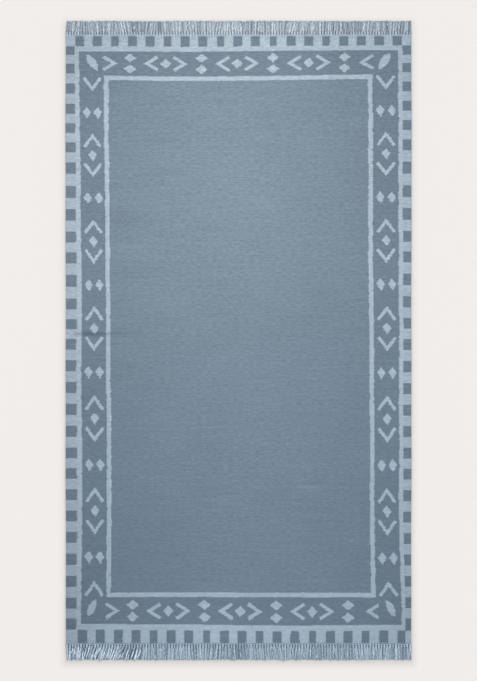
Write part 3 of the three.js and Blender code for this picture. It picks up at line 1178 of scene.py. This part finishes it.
def edge_cord(strands):
    """The twined weft that closes the cloth's end: two plies that change places at every knot, its grooves
    painted deep as their shade.
    """
    template, share = yarn_template(CORD_SEGMENTS * strands.count, sides=6)
    turn = np.arctan2(places_of(template)[:, 1], places_of(template)[:, 0])
    ply = np.cos(2 * turn + 2 * np.pi * share * strands.count)
    radius = (1 + CORD_TWIST * ply) / (1 + CORD_TWIST)
    x = (share - 0.5) * (RUG_WIDTH - 2 * CORD_INSET)
    y = EDGE_GAP + CORD_DEPTH / 2 + np.cos(turn) * radius * CORD_DEPTH / 2
    z = CORD_HEIGHT / 2 + np.sin(turn) * radius * CORD_HEIGHT / 2
    # Painted shade: the thin grooves of the twist take the deep yarn's colour, the ridges the pale weft's
    return template, np.stack([x, y, z], axis=1)[None], -(1 + ply) / 2


def joined(name, parts):
    """One mesh of many copies: each part holds a template, the places of its copies and their tones."""
    bm = bmesh.new()
    for template, places, _ in parts:
        for _ in places:
            bm.from_mesh(template)
    mesh = mesh_from(bm, name)
    set_places(mesh, np.concatenate([places.reshape(-1, 3) for _, places, _ in parts]))
    tones = [np.broadcast_to(tone, places.shape[:2]).ravel() for _, places, tone in parts]
    store(mesh, "tone", "FLOAT", np.concatenate(tones))
    return mesh


def fringe_mesh(row, settings):
    """A whole fringe, set against its end of the cloth."""
    strands = Strands(row)
    chance = np.random.default_rng(row["seed"])
    parts = [edge_cord(strands), warp_stubs(strands), *knots(strands, chance)]
    parts.append(lower_yarns(strands, settings, chance))
    parts.append(upper_yarns(strands, settings, row, chance))
    parts += [curled_ends(strands, group, chance) for group in row["curls"]]
    mesh = joined(row["node"], parts)
    turn = Matrix.Rotation(math.pi if row["turned"] else 0, 4, "Z")
    edge = FOOT_EDGE if row["turned"] else HEAD_EDGE
    mesh.transform(Matrix.Translation((0, edge * MM, 0)) @ turn)
    return mesh


class RUG_OT_knot_fringes(bpy.types.Operator):
    """Knot the warp ends into a fringe at each end of the rug"""

    bl_idname = "rug.knot_fringes"
    bl_label = "Knot Fringes"

    def execute(self, context):
        settings = context.scene.rug_fringes
        yarn = yarn_material(settings)
        for row in ROWS:
            fringe = smooth_object("knotted_" + row["node"], fringe_mesh(row, settings), yarn)
            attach(fringe, "root")
            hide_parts(row["node"])
        return {"FINISHED"}


class RUG_OT_weave_cloth(bpy.types.Operator):
    """Weave the ribbed cloth with its border"""

    bl_idname = "rug.weave_cloth"
    bl_label = "Weave Cloth"

    def execute(self, context):
        settings = context.scene.rug_cloth
        cloth = smooth_object("woven_cloth", cloth_mesh(settings), cloth_material(settings))
        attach(cloth, "root")
        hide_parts("rug_cloth")
        return {"FINISHED"}


def floor_material(settings):
    """Matt painted board, a little deeper where the light is nearest, so that it looks even."""
    material, add = empty_material("matt_painted_floor")
    place = add("TexCoord").node.outputs["Object"]
    away = add("VectorMath DISTANCE", place, (KEY_PLACE[0], KEY_PLACE[1], 0))
    spread = add("Math DIVIDE", away, KEY_REACH)
    spread = add("Math MULTIPLY_ADD", spread, spread, 1.0)
    light = add("VectorMath SCALE", KEY_GAIN, add("Math POWER", spread, -2.0))
    light = add("VectorMath ADD", light, (1, 1, 1))
    painted = add("VectorMath DIVIDE", settings.floor, light)

    # A soft painted shadow round the rug, as a lower light would give
    from_rug = add("VectorMath ADD", place, (0, SHADE_SHIFT, 0))
    from_rug = add("VectorMath ABSOLUTE", from_rug)
    from_rug = add("VectorMath SUBTRACT", from_rug, (HALF_WIDTH * MM, CAD_BOX[1].y, 1))
    from_rug = add("VectorMath LENGTH", add("VectorMath MAXIMUM", from_rug, (0, 0, 0)))
    shaded = add("Math POWER", falling(add, from_rug, SHADE_REACH), SHADE_SOFTNESS)
    metres_y = add("SeparateXYZ", place).node.outputs[1]
    depth = add("MapRange", metres_y, SHADE_DEEPENS_FROM, CAD_BOX[0].y, *SHADE_DEPTH)
    kept = add("Math SUBTRACT", 1.0, add("Math MULTIPLY", shaded, depth))
    painted = add("VectorMath SCALE", painted, kept)
    paint = add("BsdfPrincipled", sockets={"Base Color": painted, "Roughness": 0.9, "IOR": 1.5})
    add("OutputMaterial", paint)
    return material


class RUG_OT_lay_out_stage(bpy.types.Operator):
    """Make the floor, the soft light and the camera straight above the rug"""

    bl_idname = "rug.lay_out_stage"
    bl_label = "Lay Out Stage"

    def execute(self, context):
        settings = context.scene.rug_stage
        scene = context.scene
        bm = bmesh.new()
        bmesh.ops.create_grid(bm, x_segments=4, y_segments=4, size=FLOOR_HALF_SIZE)
        bmesh.ops.translate(bm, verts=bm.verts, vec=(0, 0, FLOOR_LEVEL))
        smooth_object("floor", mesh_from(bm, "floor"), floor_material(settings))

        key = bpy.data.lights.new("key_light", "AREA")
        key.size = KEY_SIZE
        key.energy = settings.key_power
        key.color = settings.key_colour
        lamp = bpy.data.objects.new("key_light", key)
        lamp.location = KEY_PLACE
        lamp.visible_camera = False
        scene.collection.objects.link(lamp)

        sky = bpy.data.worlds.new("even_sky")
        sky.use_nodes = True
        background = sky.node_tree.nodes["Background"]
        background.inputs["Color"].default_value = [1, 1, 1, 1]
        background.inputs["Strength"].default_value = settings.sky_strength
        scene.world = sky
        scene.view_settings.view_transform = "Standard"

        lens = bpy.data.cameras.new("camera")
        lens.lens = LENS
        lens.sensor_width = SENSOR
        camera = bpy.data.objects.new("camera", lens)
        distance = settings.view_length * LENS / SENSOR
        camera.location = (0, 0, CLOTH_THICKNESS * MM + distance)
        scene.collection.objects.link(camera)
        scene.camera = camera
        return {"FINISHED"}


class RUG_PT_panel(bpy.types.Panel):
    """The rug's steps and sizes in the sidebar"""

    bl_idname = "RUG_PT_panel"
    bl_label = "Flatweave Rug"
    bl_space_type = "VIEW_3D"
    bl_region_type = "UI"
    bl_category = "Rug"

    def draw(self, context):
        for owner, operator in STEPS:
            box = self.layout.box()
            settings = getattr(context.scene, owner)
            for name in settings.bl_rna.properties.keys():
                if name not in ("rna_type", "name"):
                    box.prop(settings, name)
            box.operator(operator)


# The steps in the order in which they are made, each with the settings that it reads
STEPS = [
    ("rug_fringes", "rug.knot_fringes"),
    ("rug_cloth", "rug.weave_cloth"),
    ("rug_stage", "rug.lay_out_stage"),
]
SETTINGS = {"rug_fringes": FringeSettings, "rug_cloth": ClothSettings, "rug_stage": StageSettings}
CLASSES = (*SETTINGS.values(), RUG_OT_knot_fringes, RUG_OT_weave_cloth, RUG_OT_lay_out_stage, RUG_PT_panel)


def register():
    for cls in CLASSES:
        bpy.utils.register_class(cls)
    for name, settings in SETTINGS.items():
        setattr(bpy.types.Scene, name, bpy.props.PointerProperty(type=settings))


def unregister():
    for name in SETTINGS:
        delattr(bpy.types.Scene, name)
    for cls in reversed(CLASSES):
        bpy.utils.unregister_class(cls)


def main():
    register()
    bpy.ops.rug.knot_fringes()
    bpy.ops.rug.weave_cloth()
    bpy.ops.rug.lay_out_stage()


if __name__ == "__main__":
    main()
